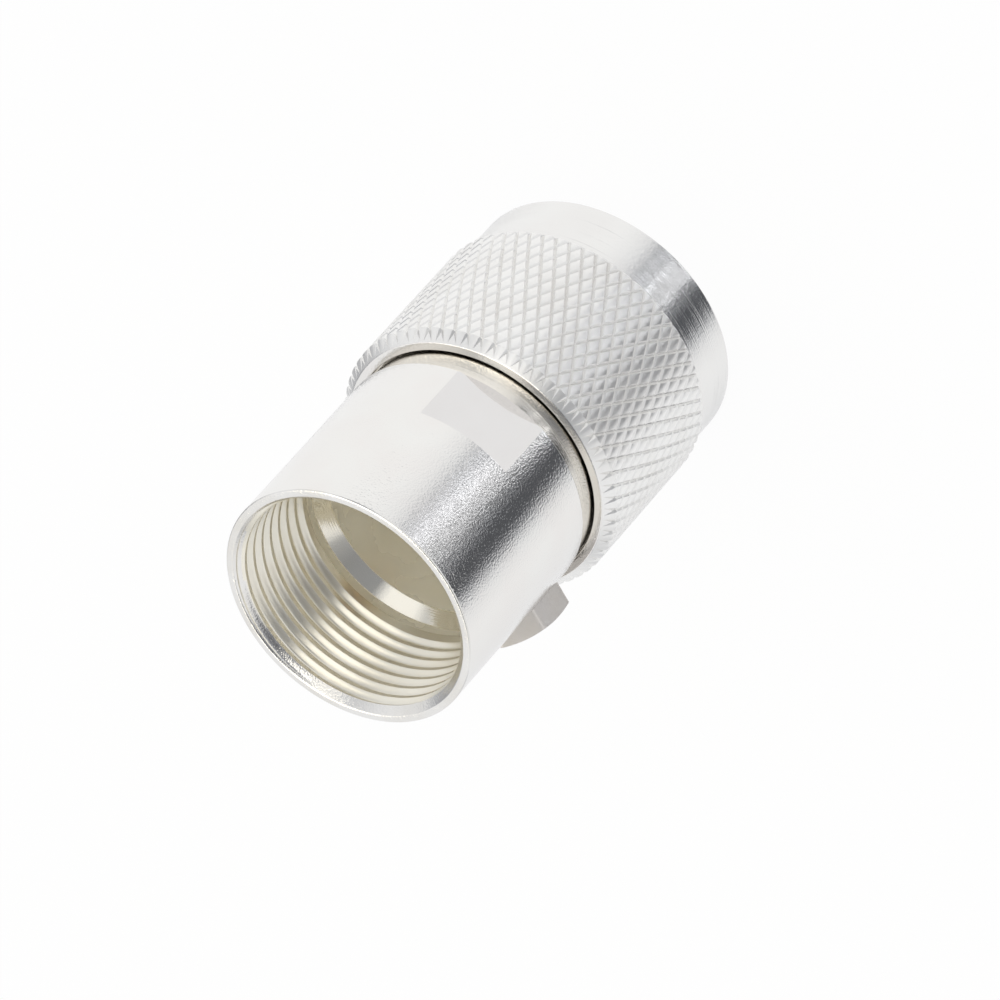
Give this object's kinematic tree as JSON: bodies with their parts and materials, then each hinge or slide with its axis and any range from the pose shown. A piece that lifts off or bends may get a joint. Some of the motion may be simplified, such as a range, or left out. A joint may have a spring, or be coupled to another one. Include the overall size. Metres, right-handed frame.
{
  "type": "n type coaxial plug",
  "caption": "Coaxial cable plug with a free-spinning knurled coupling nut, slotted outer contact, centre pin, wrench flats and a threaded open rear for the cable clamp.",
  "frame": {"origin": "on the plug's axis, in the plane of the coupling nut's front face, which it stands on", "axes": "+Z along the axis to the open rear end where the cable goes in, +Y and -Y square to the two wrench flats, +X completing a right-handed frame"},
  "size_m": [0.0208, 0.0208, 0.0334],
  "materials": {
    "silver_plate": "satin silver plate on turned brass",
    "spring_bronze": "bare spring bronze wire",
    "silicone_rubber": "matt moulded silicone rubber",
    "contact_silver": "bright silver plate",
    "white_plastic": "turned white fluoroplastic",
    "gold_plate": "gold plate on turned brass",
    "screw_steel": "plain bright steel"
  },
  "bodies": {
    "plug": {"rear_body": "silver_plate", "retaining_ring": "spring_bronze", "face_gasket": "silicone_rubber", "outer_contact": "contact_silver", "front_bead": "white_plastic", "rear_bead": "white_plastic", "centre_contact": "gold_plate", "side_screw": "screw_steel"},
    "coupling_nut": {"coupling_nut": "silver_plate"}
  },
  "joints": [
    {"name": "nut_spin", "type": "hinge", "parent": "plug", "child": "coupling_nut", "pos_m": [0, 0, 0.0141], "axis": [0, 0, 1], "continuous": true}
  ]
}
